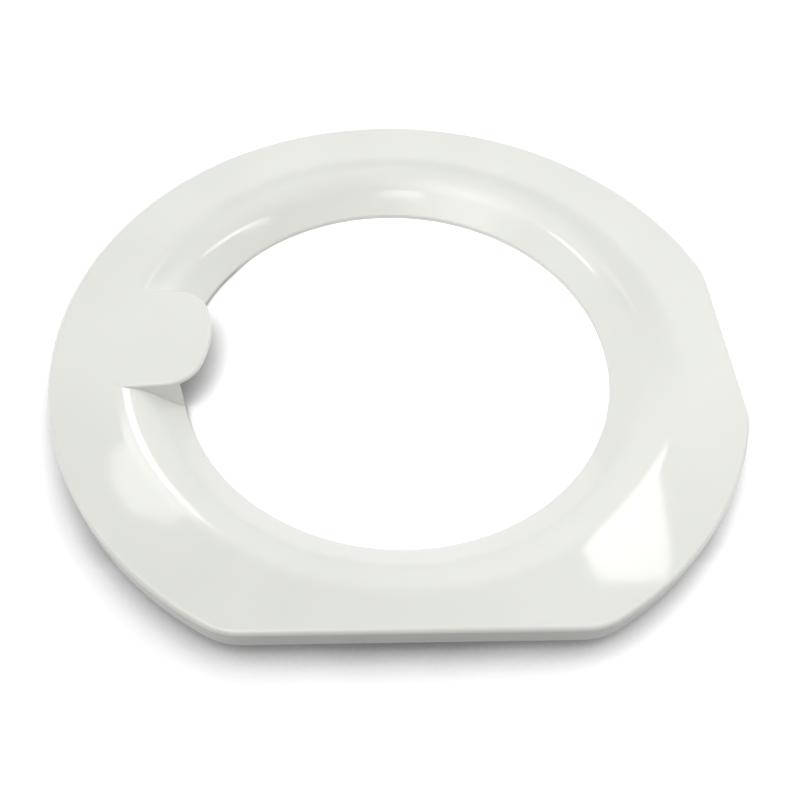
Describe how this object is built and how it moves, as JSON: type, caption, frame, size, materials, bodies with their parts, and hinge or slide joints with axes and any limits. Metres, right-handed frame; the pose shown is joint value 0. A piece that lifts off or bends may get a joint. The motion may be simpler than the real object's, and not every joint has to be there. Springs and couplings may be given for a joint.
{
  "type": "washing machine outer door frame",
  "caption": "White moulded outer ring of a washing machine door: round opening with a sloped bowl edge, flats on its outline and a handle tab over a finger gap.",
  "frame": {"origin": "on the axis of the round opening, in the plane of the skirt's foot and the ends of the screw bosses", "axes": "+Z out of the seen face, +X towards the hinge flat, with the handle tab at -X and the second flat at -Y"},
  "size_m": [0.432, 0.4174, 0.0264],
  "materials": {
    "white_plastic": "glossy moulded off-white plastic"
  },
  "bodies": {
    "root": {"outer_door_frame": "white_plastic"}
  },
  "joints": []
}
